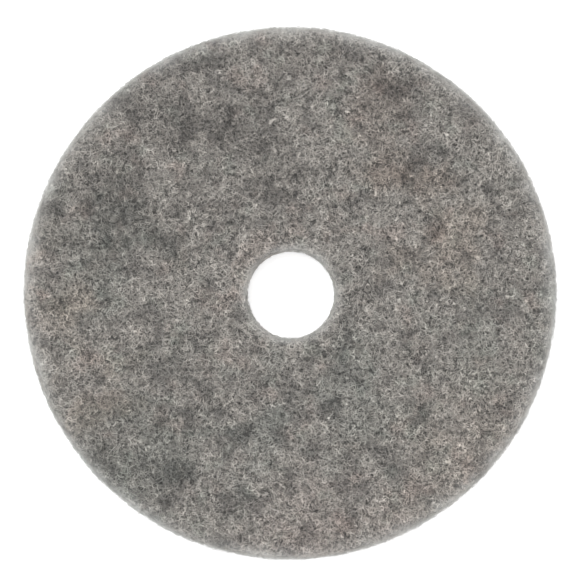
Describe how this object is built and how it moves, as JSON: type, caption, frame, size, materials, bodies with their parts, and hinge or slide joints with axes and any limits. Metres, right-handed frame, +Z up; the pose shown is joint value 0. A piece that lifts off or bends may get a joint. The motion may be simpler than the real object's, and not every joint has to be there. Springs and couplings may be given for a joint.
{
  "type": "polishing pad",
  "caption": "Thick round polishing pad of bonded hair and polyester fibre web, laid up from plies, with a round centre hole; reversible.",
  "frame": {"origin": "centre of the bottom face, on the axis of the centre hole", "axes": "+Z up through the thickness, along the axis that the pad spins about; +X and +Y across the face"},
  "size_m": [0.508, 0.508, 0.0254],
  "materials": {
    "face_web": "matt, curly fibres",
    "core_web": "matt, lofty cut fibres"
  },
  "bodies": {
    "root": {"bottom_face_web": "face_web", "core_web_lower": "core_web", "core_web_middle": "core_web", "core_web_upper": "core_web", "top_face_web": "face_web"}
  },
  "joints": []
}
